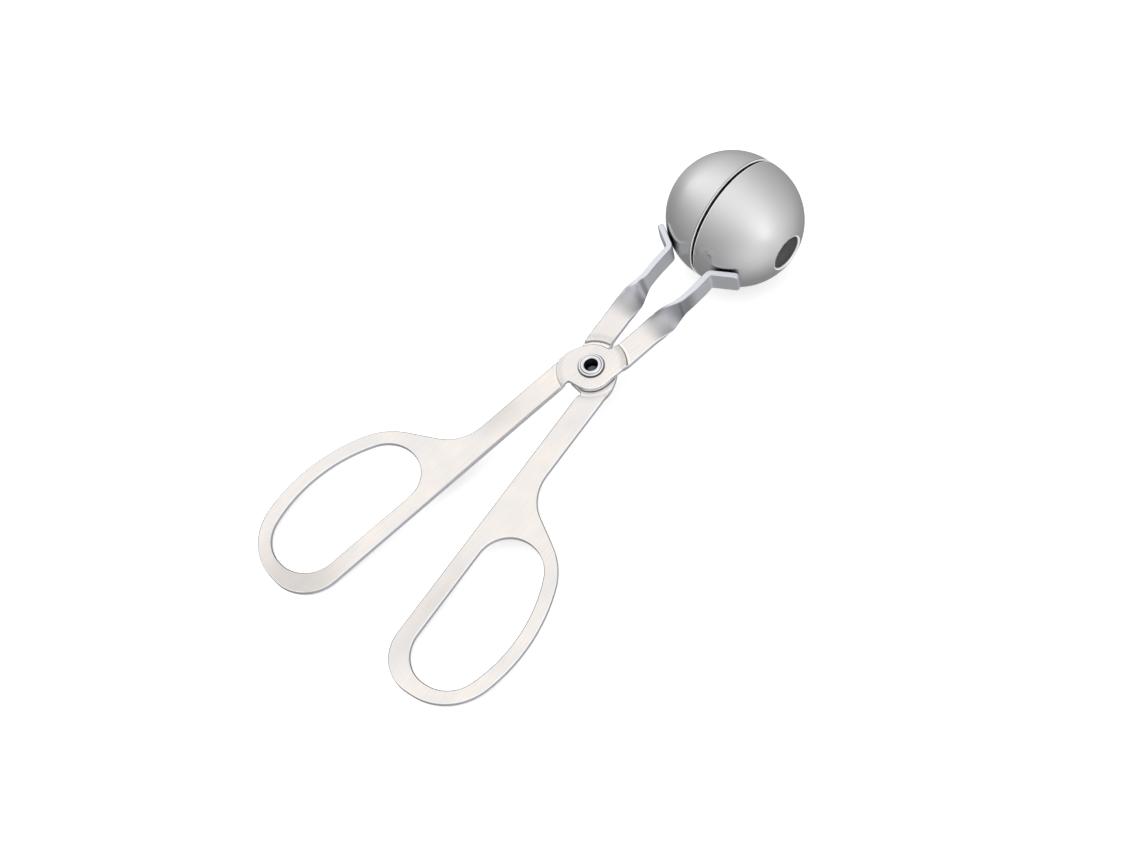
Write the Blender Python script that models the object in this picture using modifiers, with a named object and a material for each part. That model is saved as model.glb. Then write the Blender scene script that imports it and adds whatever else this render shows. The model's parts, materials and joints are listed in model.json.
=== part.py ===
"""Meatball maker: scissor tongs that press minced meat into a ball between two half-ball cups.

Two stamped stainless arms cross at a hollow rivet. Each arm is one pressing: it is blanked flat,
its pivot disc is joggled by half of the stacked thickness, its tip strip is twisted a quarter
turn and bent into a short tab, and a spun cup with a drain hole in its pole is welded to the tab.
Both arms are the same pressing. The rear one is turned half round about the long axis.

Units are metres, +Z is up and +X points from the finger loops to the ball. The tongs lie closed
on a table, on the ball and on the ends of the finger loops.
"""

import math

import bmesh
import bpy
from mathutils import Vector

MM = 0.001

# Stamped plate
PLATE_THICKNESS = 2.0 * MM
EDGE_CHAMFER = 0.3 * MM
HANDLE_LEAN = math.radians(6.5)

# Clearances
STACK_GAP = 0.3 * MM
WELD_GAP = 0.25 * MM
RIVET_CLEARANCE = 0.25 * MM
CUP_RIM_GAP = 0.6 * MM

# Pivot disc, joggled clear of the other arm's disc
DISC_RADIUS = 8.0 * MM
JOGGLE_MARGIN = 1.9 * MM
JOGGLE_THROUGH = 1.6 * MM
JOGGLE_SHOULDER = 3.2 * MM
NOTCH_RADIUS = 1.0 * MM
SHOULDER_RADIUS = 18.0 * MM
SHOULDER_ANGLE = math.radians(30.0)
NOTCH_ANGLE = math.radians(12.0)

# Joggle's shoulder: share of its run outward, share of the drop
JOGGLE_FALL_SHARES = ((0.0, 0.0), (0.5, 0.08), (0.88, 0.38), (1.0, 1.0))

# Handle strip and finger loop, measured along the strip from the pivot
HANDLE_OFFSET = 1.8 * MM
HANDLE_WIDTH = 7.9 * MM
LOOP_REACH = 118.7 * MM
LOOP_LENGTH = 72.1 * MM
LOOP_HEIGHT = 36.75 * MM
LOOP_RIM_END = 5.0 * MM
LOOP_RIM_BACK = 5.6 * MM
LOOP_RIM_TOP = 4.45 * MM
LOOP_WEB = 13.3 * MM
NECK_RADIUS = 15.0 * MM

# Loop corners: share of the length, share of the height, corner radius as a share of the height
LOOP_CORNER_SHARES = ((0.0, 0.0, 0.37), (0.0, 0.825, 0.52), (0.44, 1.08, 1.55), (0.803, 0.825, 0.625))
HOLE_CORNER_SHARES = (
    (0.0, 0.0, 0.43),
    (1.0, 0.0, 0.40),
    (1.0, 0.70, 0.455),
    (0.516, 1.158, 1.9),
    (0.0, 0.778, 0.46),
)

# Tip strip, measured along the strip from the pivot
TIP_EDGE = 7.85 * MM
TIP_WIDTH = 8.1 * MM
TWIST_START = 20.0 * MM
TWIST_LENGTH = 17.0 * MM
TWIST_ANGLE = math.radians(90.0)
TURN_START = 36.5 * MM
TURN_LENGTH = 8.0 * MM
TAB_ANGLE = math.radians(60.5)
TAB_BEND_RADIUS = 0.6 * MM
TAB_LENGTH = 8.6 * MM
TAB_CORNER_RADIUS = 1.3 * MM

# Cups: each is a spherical shell whose centre is drawn back from the rim
BALL_DISTANCE = 70.2 * MM
CUP_RADIUS = 21.6 * MM
CUP_SETBACK = 1.3 * MM
CUP_WALL = 0.9 * MM
DRAIN_HOLE_RADIUS = 6.06 * MM

# Semi-tubular rivet: a rolled lip on top, a low domed head below
RIVET_RADIUS = 3.0 * MM
RIVET_BORE_RADIUS = 2.2 * MM
RIVET_BORE_DEPTH = 4.3 * MM
RIVET_LIP_RADIUS = 4.0 * MM
RIVET_LIP_HEIGHT = 0.85 * MM
RIVET_HEAD_RADIUS = 4.5 * MM
RIVET_HEAD_EDGE = 0.3 * MM
RIVET_HEAD_HEIGHT = 1.2 * MM
DRILL_POINT_SLOPE = math.tan(math.radians(31.0))

# Fineness of the solids
CHORD_ERROR = 0.015 * MM
MERGE_DISTANCE = 0.005 * MM
TWIST_CUTS = 15
TURN_CUTS = 3
BEND_CUTS = 7
STRIP_GUIDE_SHARES = (0.25, 0.5, 0.75)
JOGGLE_STEPS = 48
JOGGLE_FIELD_SHARE = 1.03
CUP_STEPS = 52
CUP_ARC_STEPS = 11
RIM_ARC_STEPS = 4
RIVET_STEPS = 40
LIP_ARC_STEPS = 8
HEAD_ARC_STEPS = 6
SHARP_ANGLE = math.radians(30.0)
FLAT_ANGLE = math.radians(0.5)

# Sizes that follow from those above
JOGGLE_RISE = (PLATE_THICKNESS + STACK_GAP) / 2
JOGGLE_ROOT = DISC_RADIUS + JOGGLE_MARGIN
JOGGLE_FOOT = JOGGLE_ROOT + JOGGLE_THROUGH
JOGGLE_TOP_FOLDS = [(JOGGLE_FOOT - (1 - run) * JOGGLE_SHOULDER, drop) for run, drop in JOGGLE_FALL_SHARES]
JOGGLE_UNDER_FOLDS = [
    (JOGGLE_ROOT + (1 - run) * JOGGLE_SHOULDER, 1 - drop) for run, drop in reversed(JOGGLE_FALL_SHARES)
]
JOGGLE_OUTER = JOGGLE_ROOT + JOGGLE_SHOULDER
PIVOT_HOLE_RADIUS = RIVET_RADIUS + RIVET_CLEARANCE
STACK_TOP = STACK_GAP / 2 + PLATE_THICKNESS
TIP_CENTRE = TIP_WIDTH / 2 - TIP_EDGE
BEND_RADIUS = TAB_BEND_RADIUS + PLATE_THICKNESS / 2

STEEL_FINISHES = {
    "brushed_steel": ((0.78, 0.77, 0.76, 1.0), 0.32),
    "polished_steel": ((0.72, 0.72, 0.72, 1.0), 0.14),
    "rivet_steel": ((0.70, 0.70, 0.72, 1.0), 0.22),
}


def clear_scene():
    """Remove whatever the scene starts with."""
    for obj in list(bpy.data.objects):
        bpy.data.objects.remove(obj, do_unlink=True)


def steel(name):
    """A bare stainless steel of one of the named finishes."""
    colour, roughness = STEEL_FINISHES[name]
    material = bpy.data.materials.new(name)
    material.use_nodes = True
    shader = material.node_tree.nodes["Principled BSDF"]
    shader.inputs["Base Color"].default_value = colour
    shader.inputs["Roughness"].default_value = roughness
    shader.inputs["Metallic"].default_value = 1.0
    material.diffuse_color = colour
    return material


def arc_segments(radius, angle):
    """How many chords keep an arc within the chord error."""
    step = 2 * math.acos(1 - min(CHORD_ERROR / radius, 1.0))
    return max(2, math.ceil(abs(angle) / step))


def circle(radius, steps):
    """Points round a circle about the pivot."""
    return [
        Vector((radius * math.cos(turn), radius * math.sin(turn)))
        for turn in (2 * math.pi * i / steps for i in range(steps))
    ]


def tangent_corner(radius, start, end):
    """Where the tangents of a circle about the pivot meet, at two angles round it."""
    middle = (start + end) / 2
    reach = radius / math.cos((end - start) / 2)
    return reach * math.cos(middle), reach * math.sin(middle), radius


def tangent_at_height(radius, angle, height):
    """Where the tangent of a circle about the pivot, at an angle round it, reaches a height."""
    return (radius - height * math.sin(angle)) / math.cos(angle)


def filleted(corners):
    """Round each corner (x, y, radius) of a closed outline, with its radius limited by its sides."""
    points = [Vector(corner[:2]) for corner in corners]
    count = len(points)
    sides = [(points[(i + 1) % count] - points[i]).length for i in range(count)]
    turns, reaches = [], []
    for i, corner in enumerate(corners):
        before = points[i] - points[i - 1]
        after = points[(i + 1) % count] - points[i]
        turn = before.angle_signed(after)
        turns.append(turn)
        reaches.append(corner[2] * math.tan(abs(turn) / 2))
    outline = []
    for i, point in enumerate(points):
        following = (i + 1) % count
        fit_after = min(1.0, sides[i] / max(reaches[i] + reaches[following], MERGE_DISTANCE))
        fit_before = min(1.0, sides[i - 1] / max(reaches[i] + reaches[i - 1], MERGE_DISTANCE))
        reach = reaches[i] * min(fit_after, fit_before)
        if reach < MERGE_DISTANCE:
            outline.append(point)
            continue
        radius = reach / math.tan(abs(turns[i]) / 2)
        start = point + (points[i - 1] - point).normalized() * reach
        along = (point - start).normalized()
        side = Vector((along.y, -along.x)) if turns[i] > 0 else Vector((-along.y, along.x))
        centre = start + side * radius
        steps = arc_segments(radius, turns[i])
        for step in range(steps + 1):
            swept = abs(turns[i]) * step / steps
            outline.append(centre - side * radius * math.cos(swept) + along * radius * math.sin(swept))
    return outline


def tip_legs():
    """The tip strip's legs after the pivot: each a length and the angle that it turns through."""
    across = Vector((math.sin(TAB_ANGLE), math.cos(TAB_ANGLE)))
    bend = Vector((BEND_RADIUS * math.sin(TAB_ANGLE), BEND_RADIUS * (math.cos(TAB_ANGLE) - 1)))
    turned, _ = walk(((TURN_START, 0.0), (TURN_LENGTH, HANDLE_LEAN)), TURN_START + TURN_LENGTH)
    cup_centre = Vector((BALL_DISTANCE, -CUP_SETBACK))
    seat = across.dot(cup_centre) - CUP_RADIUS - WELD_GAP - PLATE_THICKNESS / 2
    run = (seat - across.dot(turned + bend)) / across.x
    return (
        (TURN_START, 0.0),
        (TURN_LENGTH, HANDLE_LEAN),
        (run, 0.0),
        (BEND_RADIUS * TAB_ANGLE, -TAB_ANGLE),
        (TAB_LENGTH, 0.0),
    )


def walk(legs, distance):
    """The point and heading at a distance along the strip's centre line, from the pivot."""
    heading = -HANDLE_LEAN
    point = Vector((-TIP_CENTRE * math.sin(heading), TIP_CENTRE * math.cos(heading)))
    left = distance
    for length, turn in legs:
        part = min(left, length)
        if turn:
            radius = length / turn
            swept = part / radius
            point.x += radius * (math.sin(heading + swept) - math.sin(heading))
            point.y -= radius * (math.cos(heading + swept) - math.cos(heading))
            heading += swept
        else:
            point += Vector((math.cos(heading), math.sin(heading))) * part
        left -= part
    return point, heading


def blank_outline(tip_end):
    """The outline of the flat blank, with its strips along X and its loop on the +Y side."""
    outer_edge = HANDLE_OFFSET + HANDLE_WIDTH
    shoulder_tangent = math.pi / 2 - SHOULDER_ANGLE
    notch_x = tangent_at_height(DISC_RADIUS, math.pi + NOTCH_ANGLE, HANDLE_OFFSET)
    tip_notch_x = tangent_at_height(DISC_RADIUS, NOTCH_ANGLE, TIP_CENTRE + TIP_WIDTH / 2)
    tip_tangent = -math.pi / 2 - math.acos(min(TIP_EDGE / DISC_RADIUS, 1.0))
    shoulder_x = (DISC_RADIUS - outer_edge * math.cos(SHOULDER_ANGLE)) / math.sin(SHOULDER_ANGLE)
    corners = [
        (-LOOP_REACH + x * LOOP_LENGTH, HANDLE_OFFSET + y * LOOP_HEIGHT, radius * LOOP_HEIGHT)
        for x, y, radius in LOOP_CORNER_SHARES
    ]
    corners += [
        (LOOP_LENGTH - LOOP_REACH, outer_edge, NECK_RADIUS),
        (shoulder_x, outer_edge, SHOULDER_RADIUS),
        tangent_corner(DISC_RADIUS, shoulder_tangent, NOTCH_ANGLE),
        (tip_notch_x, TIP_CENTRE + TIP_WIDTH / 2, NOTCH_RADIUS),
        (tip_end, TIP_CENTRE + TIP_WIDTH / 2, TAB_CORNER_RADIUS),
        (tip_end, -TIP_EDGE, TAB_CORNER_RADIUS),
        (tangent_at_height(DISC_RADIUS, tip_tangent, -TIP_EDGE), -TIP_EDGE, DISC_RADIUS),
        tangent_corner(DISC_RADIUS, tip_tangent, NOTCH_ANGLE - math.pi),
        (notch_x, HANDLE_OFFSET, NOTCH_RADIUS),
    ]
    return filleted(corners)


def finger_hole():
    """The outline of the finger hole, set in from the loop by its rims and web."""
    left = LOOP_RIM_END - LOOP_REACH
    bottom = HANDLE_OFFSET + LOOP_RIM_BACK
    length = LOOP_LENGTH - LOOP_RIM_END - LOOP_WEB
    height = LOOP_HEIGHT - LOOP_RIM_BACK - LOOP_RIM_TOP
    return filleted(
        [(left + x * length, bottom + y * height, radius * height) for x, y, radius in HOLE_CORNER_SHARES]
    )


def evenly(start, end, count):
    """Values spread evenly from start to end, with both of them in."""
    return [start + (end - start) * i / (count - 1) for i in range(count)]


def blank_plate(outline, holes):
    """The flat blank: a filled curve with its thickness and the small chamfer of tumbled edges."""
    curve = bpy.data.curves.new("blank", "CURVE")
    curve.dimensions = "2D"
    curve.fill_mode = "BOTH"
    curve.extrude = PLATE_THICKNESS / 2 - EDGE_CHAMFER
    curve.bevel_depth = EDGE_CHAMFER
    curve.bevel_resolution = 0
    curve.offset = -EDGE_CHAMFER
    for loop in [outline, *holes]:
        spline = curve.splines.new("POLY")
        spline.points.add(len(loop) - 1)
        for point, place in zip(spline.points, loop):
            point.co = (place.x, place.y, 0.0, 1.0)
        spline.use_cyclic_u = True
    blank = bpy.data.objects.new("blank", curve)
    bpy.context.scene.collection.objects.link(blank)
    graph = bpy.context.evaluated_depsgraph_get()
    mesh = bpy.data.meshes.new_from_object(blank.evaluated_get(graph))
    bpy.data.objects.remove(blank, do_unlink=True)
    plate = bmesh.new()
    plate.from_mesh(mesh)
    bpy.data.meshes.remove(mesh)
    bmesh.ops.remove_doubles(plate, verts=plate.verts[:], dist=MERGE_DISTANCE)
    bmesh.ops.recalc_face_normals(plate, faces=plate.faces[:])
    bmesh.ops.dissolve_limit(plate, angle_limit=FLAT_ANGLE, verts=[], edges=plate.edges[:])
    return plate


def divide(plate, faces, point, normal):
    """Divide some of the plate's faces along a plane, so that the plate can fold there."""
    edges = list({edge for face in faces for edge in face.edges})
    verts = list({vert for face in faces for vert in face.verts})
    bmesh.ops.bisect_plane(
        plate, geom=faces + edges + verts, dist=MERGE_DISTANCE, plane_co=point, plane_no=normal
    )


def faces_between(plate, start, end):
    """The faces of the plate that lie between two places along it."""
    return [face for face in plate.faces if start < face.calc_center_median().x < end]


def score_joggle(plate):
    """Divide the plate into sectors round the pivot, and along the folds of the joggle."""
    field = JOGGLE_OUTER * JOGGLE_FIELD_SHARE
    for x in (-field, field):
        divide(plate, plate.faces[:], (x, 0.0, 0.0), (1.0, 0.0, 0.0))
    step = 2 * math.pi / JOGGLE_STEPS
    for i in range(JOGGLE_STEPS // 2):
        normal = (-math.sin(i * step), math.cos(i * step), 0.0)
        divide(plate, faces_between(plate, -field, field), (0.0, 0.0, 0.0), normal)
    for i in range(JOGGLE_STEPS):
        middle = Vector((math.cos((i + 0.5) * step), math.sin((i + 0.5) * step)))
        for radius, _ in JOGGLE_TOP_FOLDS + JOGGLE_UNDER_FOLDS:
            sector = [
                face
                for face in faces_between(plate, -field, field)
                if face.calc_center_median().xy.angle(middle) < step / 2
            ]
            divide(plate, sector, (middle * radius * math.cos(step / 2)).to_3d(), middle.to_3d())


def score_tip(plate, legs):
    """Divide the tip strip across its twist and bends, and along its twist."""
    bend_start = sum(length for length, _ in legs[:3])
    cuts = evenly(TWIST_START, TWIST_START + TWIST_LENGTH, TWIST_CUTS)
    cuts += evenly(TURN_START + TURN_LENGTH / TURN_CUTS, TURN_START + TURN_LENGTH, TURN_CUTS)
    cuts += evenly(bend_start, bend_start + legs[3][0], BEND_CUTS)
    for x in cuts:
        divide(plate, plate.faces[:], (x, 0.0, 0.0), (1.0, 0.0, 0.0))
    for share in STRIP_GUIDE_SHARES:
        place = (0.0, TIP_CENTRE - TIP_WIDTH / 2 + share * TIP_WIDTH, 0.0)
        twist = faces_between(plate, TWIST_START, TWIST_START + TWIST_LENGTH)
        divide(plate, twist, place, (0.0, 1.0, 0.0))


def fall_share(reach, folds):
    """How much of its rise the pressed disc has lost at a distance from the pivot, on one face."""
    for inner, outer in zip(folds, folds[1:]):
        if reach < outer[0]:
            return inner[1] + (outer[1] - inner[1]) * max(reach - inner[0], 0.0) / (outer[0] - inner[0])
    return 1.0


def joggled(point):
    """Press the pivot disc up by half of the stacked thickness, with flat sectors round it.

    The top has a rounded shoulder and a steep foot, and the underside has the same turned over,
    further in, which keeps the plate nearly as thick in between.
    """
    step = 2 * math.pi / JOGGLE_STEPS
    sector = math.floor(math.atan2(point.y, point.x) / step) + 0.5
    reach = point.xy.dot(Vector((math.cos(sector * step), math.sin(sector * step)))) / math.cos(step / 2)
    depth_share = (PLATE_THICKNESS / 2 - point.z) / PLATE_THICKNESS
    fall = fall_share(reach, JOGGLE_TOP_FOLDS) * (1 - depth_share)
    fall += fall_share(reach, JOGGLE_UNDER_FOLDS) * depth_share
    return point + Vector((0.0, 0.0, JOGGLE_RISE * (1 - fall)))


def twisted(point, legs):
    """Carry a point of the blank's tip strip to its place on the twisted and bent strip."""
    centre, heading = walk(legs, point.x)
    share = min(max((point.x - TWIST_START) / TWIST_LENGTH, 0.0), 1.0)
    twist = TWIST_ANGLE * share * share * (3 - 2 * share)
    side = Vector((-math.sin(heading), math.cos(heading), 0.0))
    up = Vector((0.0, 0.0, 1.0))
    across = side * math.cos(twist) + up * math.sin(twist)
    through = up * math.cos(twist) - side * math.sin(twist)
    return centre.to_3d() + across * (point.y - TIP_CENTRE) + through * point.z


def leaned(point):
    """Turn a point of the blank about the pivot, to the arm's slant at rest."""
    cosine, sine = math.cos(HANDLE_LEAN), math.sin(HANDLE_LEAN)
    return Vector((point.x * cosine + point.y * sine, point.y * cosine - point.x * sine, point.z))


def arm_mesh():
    """One arm: the blank, thickened, joggled at the pivot, twisted and bent at its tip."""
    legs = tip_legs()
    tip_end = sum(length for length, _ in legs)
    holes = [finger_hole(), circle(PIVOT_HOLE_RADIUS, JOGGLE_STEPS)]
    plate = blank_plate(blank_outline(tip_end), [hole[::-1] for hole in holes])
    score_joggle(plate)
    score_tip(plate, legs)
    bmesh.ops.remove_doubles(plate, verts=plate.verts[:], dist=MERGE_DISTANCE)
    for corner in plate.verts:
        flat = corner.co.copy()
        corner.co = twisted(flat, legs) if flat.x > TWIST_START else leaned(joggled(flat))
    mesh = bpy.data.meshes.new("arm")
    plate.to_mesh(mesh)
    plate.free()
    return mesh


def arc_points(centre, radius, start, end, steps):
    """Points (radius, height) along an arc of a turned profile."""
    return [
        (centre[0] + radius * math.cos(angle), centre[1] + radius * math.sin(angle))
        for angle in evenly(start, end, steps + 1)
    ]


def turned(name, profile, steps, closed):
    """A turned piece: a profile in X and Z, carried round Z by a Screw modifier."""
    mesh = bpy.data.meshes.new(name)
    count = len(profile)
    edges = [(i, (i + 1) % count) for i in range(count if closed else count - 1)]
    mesh.from_pydata([(x, 0.0, z) for x, z in profile], edges, [])
    piece = bpy.data.objects.new(name, mesh)
    screw = piece.modifiers.new("turn", "SCREW")
    screw.axis = "Z"
    screw.angle = 2 * math.pi
    screw.steps = steps
    screw.render_steps = steps
    screw.use_merge_vertices = True
    screw.merge_threshold = MERGE_DISTANCE
    screw.use_smooth_shade = True
    return piece


def cup_profile():
    """A cup's wall: down the outside from the rim to the drain hole, up the inside, round the rim."""
    centre = -CUP_SETBACK
    rim = -CUP_RIM_GAP / 2
    middle_radius = CUP_RADIUS - CUP_WALL / 2
    lip = CUP_WALL / 2
    rise = math.asin((rim - lip - centre) / middle_radius)
    outer_end = -math.acos(DRAIN_HOLE_RADIUS / CUP_RADIUS)
    inner_radius = CUP_RADIUS - CUP_WALL
    inner_end = -math.acos(DRAIN_HOLE_RADIUS / inner_radius)
    outside = arc_points((0.0, centre), CUP_RADIUS, rise, outer_end, CUP_ARC_STEPS)
    inside_wall = arc_points((0.0, centre), inner_radius, inner_end, rise, CUP_ARC_STEPS)
    lip_centre = (middle_radius * math.cos(rise), centre + middle_radius * math.sin(rise))
    lip_points = arc_points(lip_centre, lip, rise + math.pi, rise, RIM_ARC_STEPS)
    return outside + inside_wall + lip_points[1:-1]


def rivet_profile():
    """The rivet, from the bottom of its bore, over the rolled lip, down the shank and round the head."""
    lip_base = STACK_TOP + STACK_GAP
    lip_roll = (RIVET_LIP_RADIUS - RIVET_BORE_RADIUS) / 2
    lip_middle = RIVET_BORE_RADIUS + lip_roll
    bore_end = lip_base - RIVET_BORE_DEPTH
    head_base = -lip_base
    head_edge = head_base - RIVET_HEAD_EDGE
    dome = RIVET_HEAD_HEIGHT - RIVET_HEAD_EDGE
    profile = [(0.0, bore_end - RIVET_BORE_RADIUS * DRILL_POINT_SLOPE), (RIVET_BORE_RADIUS, bore_end)]
    profile += [
        (lip_middle - lip_roll * math.cos(turn), lip_base + RIVET_LIP_HEIGHT * math.sin(turn))
        for turn in evenly(0.0, math.pi, LIP_ARC_STEPS + 1)
    ]
    profile += [(RIVET_RADIUS, lip_base), (RIVET_RADIUS, head_base), (RIVET_HEAD_RADIUS, head_base)]
    profile += [
        (RIVET_HEAD_RADIUS * math.cos(turn), head_edge - dome * math.sin(turn))
        for turn in evenly(0.0, math.pi / 2, HEAD_ARC_STEPS + 1)
    ]
    profile[-1] = (0.0, profile[-1][1])
    return profile


def dress(piece, collection, parent, material):
    """Put a piece in the parts' collection, under its parent, with its material and smooth faces."""
    collection.objects.link(piece)
    piece.parent = parent
    if piece.data.materials:
        piece.data.materials[0] = material
    else:
        piece.data.materials.append(material)
    piece.data.shade_smooth()
    piece.data.set_sharp_from_angle(angle=SHARP_ANGLE)
    return piece


def frame(name, collection, parent=None):
    """An empty that carries pieces, with its origin on the pivot's axis."""
    empty = bpy.data.objects.new(name, None)
    empty.empty_display_size = DISC_RADIUS
    empty.parent = parent
    collection.objects.link(empty)
    return empty


def build_side(name, collection, tongs, arm_data, finishes):
    """One half of the tongs: an arm and the cup that is welded to its tab."""
    side = frame(name + "_side", collection, tongs)
    arm = dress(bpy.data.objects.new(name + "_arm", arm_data), collection, side, finishes["brushed_steel"])
    cup = turned(name + "_cup", cup_profile(), CUP_STEPS, closed=True)
    cup.location = (BALL_DISTANCE, 0.0, 0.0)
    cup.rotation_euler = (-math.pi / 2, 0.0, 0.0)
    dress(cup, collection, side, finishes["polished_steel"])
    return side, arm, cup


def world_corners(pieces):
    """Every corner of the pieces as they stand in the world."""
    bpy.context.view_layer.update()
    graph = bpy.context.evaluated_depsgraph_get()
    corners = []
    for piece in pieces:
        shown = piece.evaluated_get(graph)
        mesh = shown.to_mesh()
        corners += [piece.matrix_world @ vertex.co for vertex in mesh.vertices]
        shown.to_mesh_clear()
    return corners


def lay_down(tongs, pieces, arm_data):
    """Tilt the closed tongs until the ball and the loops touch the table, and centre them over it."""
    half = PLATE_THICKNESS / 2
    reach = BALL_DISTANCE - min(vertex.co.x for vertex in arm_data.vertices if vertex.co.z < -half / 2)
    tilt = math.asin(CUP_RADIUS / math.hypot(reach, half)) - math.atan2(half, reach)
    tongs.rotation_euler = (0.0, -tilt, 0.0)
    corners = world_corners(pieces)
    low = Vector(min(corner[axis] for corner in corners) for axis in range(3))
    high = Vector(max(corner[axis] for corner in corners) for axis in range(3))
    middle = (low + high) / 2
    tongs.location = (-middle.x, -middle.y, -low.z)


def build():
    """Model the whole part."""
    clear_scene()
    collection = bpy.data.collections.new("meatball_maker")
    bpy.context.scene.collection.children.link(collection)
    finishes = {name: steel(name) for name in STEEL_FINISHES}
    tongs = frame("tongs", collection)
    arm_data = arm_mesh()
    _, front_arm, front_cup = build_side("front", collection, tongs, arm_data, finishes)
    rear_side, rear_arm, rear_cup = build_side("rear", collection, tongs, arm_data, finishes)
    rear_side.rotation_euler = (math.pi, 0.0, 0.0)
    rivet = turned("pivot_rivet", rivet_profile(), RIVET_STEPS, closed=False)
    dress(rivet, collection, tongs, finishes["rivet_steel"])
    lay_down(tongs, [front_arm, front_cup, rear_arm, rear_cup, rivet], arm_data)


build()
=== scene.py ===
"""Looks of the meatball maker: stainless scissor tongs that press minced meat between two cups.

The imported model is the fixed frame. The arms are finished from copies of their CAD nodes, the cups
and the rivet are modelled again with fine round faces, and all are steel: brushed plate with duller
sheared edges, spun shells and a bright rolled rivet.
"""

import json
import logging
import math
from collections.abc import Callable
from dataclasses import dataclass, field
from enum import Enum, IntEnum

import bpy
from bpy.types import Material, MeshPolygon, Node, NodeSocket, NodeTree, Object
from mathutils import Matrix, Vector


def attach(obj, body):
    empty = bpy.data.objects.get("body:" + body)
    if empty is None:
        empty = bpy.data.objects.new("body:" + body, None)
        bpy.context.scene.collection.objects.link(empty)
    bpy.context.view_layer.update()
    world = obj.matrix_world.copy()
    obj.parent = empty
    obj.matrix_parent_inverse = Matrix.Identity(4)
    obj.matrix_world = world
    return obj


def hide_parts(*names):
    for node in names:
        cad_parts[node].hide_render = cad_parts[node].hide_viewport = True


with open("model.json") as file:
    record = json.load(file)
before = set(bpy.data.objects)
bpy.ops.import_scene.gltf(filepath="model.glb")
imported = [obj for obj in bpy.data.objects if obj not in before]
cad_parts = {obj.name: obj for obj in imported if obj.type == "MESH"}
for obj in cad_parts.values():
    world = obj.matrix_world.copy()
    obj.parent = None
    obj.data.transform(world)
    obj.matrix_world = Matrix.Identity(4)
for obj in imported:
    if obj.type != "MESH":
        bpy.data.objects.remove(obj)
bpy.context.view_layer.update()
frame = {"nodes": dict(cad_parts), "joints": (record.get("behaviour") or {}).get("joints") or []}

LOG = logging.getLogger("meatball_maker")
MM = 0.001
# Most values of a noise texture lie between these two.
NOISE_SPAN = {"From Min": 0.3, "From Max": 0.7}


class Side(Enum):
    """The two halves of the tongs. The front arm lies on top at the pivot."""

    FRONT = "front"
    REAR = "rear"

    @property
    def sign(self) -> int:
        """Which way the side's finger loop lies across the tongs. Its cup lies the other way."""
        return 1 if self is Side.FRONT else -1

    @property
    def body(self) -> str:
        """The CAD body that the side's pieces ride on."""
        return f"{self.value}_half"


class ArmFace(IntEnum):
    """Which part of the plate's surface a face belongs to. Its number is its material's slot."""

    BROAD = 0
    SIDE = 1
    CHAMFER = 2

    @property
    def strength(self) -> str:
        """Blender's name for how strongly the face pulls the shading of its edges."""
        return ("STRONG", "MEDIUM", "WEAK")[self]


class CupFace(IntEnum):
    """Which part of the cup's surface a face belongs to. Its number is its material's slot."""

    SHELL = 0
    INSIDE = 1
    RIM = 2
    PIERCED = 3

    @property
    def strength(self) -> str:
        """Blender's name for how strongly the face pulls the shading of its edges."""
        return "STRONG" if self in (CupFace.SHELL, CupFace.INSIDE) else "WEAK"


def linear(hex_colour: str) -> tuple[float, float, float, float]:
    """Turn an sRGB hex colour into the linear colour that a shader takes.

    Args:
        hex_colour: six hex digits, with or without a leading #.

    Returns:
        Linear red, green and blue, and full alpha.
    """
    digits = hex_colour.lstrip("#")
    channels = (int(digits[i:i + 2], 16) / 255 for i in (0, 2, 4))
    red, green, blue = (c / 12.92 if c <= 0.04045 else ((c + 0.055) / 1.055) ** 2.4 for c in channels)
    return red, green, blue, 1.0


def set_inputs(node: Node, inputs: dict) -> None:
    """Set a node's inputs and link the ones that get a socket.

    Args:
        node: the node.
        inputs: a value or a socket to link for each input, by name or number.
    """
    for name, value in inputs.items():
        if isinstance(value, NodeSocket):
            node.id_data.links.new(value, node.inputs[name])
        else:
            node.inputs[name].default_value = value


def add_node(tree: NodeTree, kind: str, inputs: dict | None = None, **settings) -> Node:
    """Add a node with its settings, values and links.

    Args:
        tree: the node tree that gets the node.
        kind: the node's Blender type name.
        inputs: a value or a socket to link for each input, by name or number.
        settings: the node's own properties.

    Returns:
        The new node.
    """
    node = tree.nodes.new(kind)
    for name, value in settings.items():
        setattr(node, name, value)
    set_inputs(node, inputs or {})
    return node


def start_material(name: str) -> tuple[Material, Node]:
    """Start a material.

    Args:
        name: the material's name.

    Returns:
        The material and its shader node.
    """
    material = bpy.data.materials.new(name)
    material.use_nodes = True
    return material, material.node_tree.nodes["Principled BSDF"]


def deselect_all() -> None:
    """Leave nothing selected, because an operator acts on all that is selected."""
    if bpy.context.object and bpy.context.object.mode != "OBJECT":
        bpy.ops.object.mode_set(mode="OBJECT")
    bpy.ops.object.select_all(action="DESELECT")


def select_only(piece: Object) -> None:
    """Select one piece and make it the active one.

    Args:
        piece: the piece that the next operators act on.
    """
    deselect_all()
    piece.select_set(True)
    bpy.context.view_layer.objects.active = piece


def edit_faces(piece: Object, wanted: Callable[[MeshPolygon], bool]) -> None:
    """Open a piece in edit mode with only the wanted faces selected.

    Args:
        piece: the piece to edit.
        wanted: says whether a face is selected.
    """
    select_only(piece)
    bpy.ops.object.mode_set(mode="EDIT")
    bpy.ops.mesh.select_mode(type="FACE")
    bpy.ops.mesh.select_all(action="DESELECT")
    bpy.ops.object.mode_set(mode="OBJECT")
    for face in piece.data.polygons:
        face.select = wanted(face)
    bpy.ops.object.mode_set(mode="EDIT")


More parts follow.
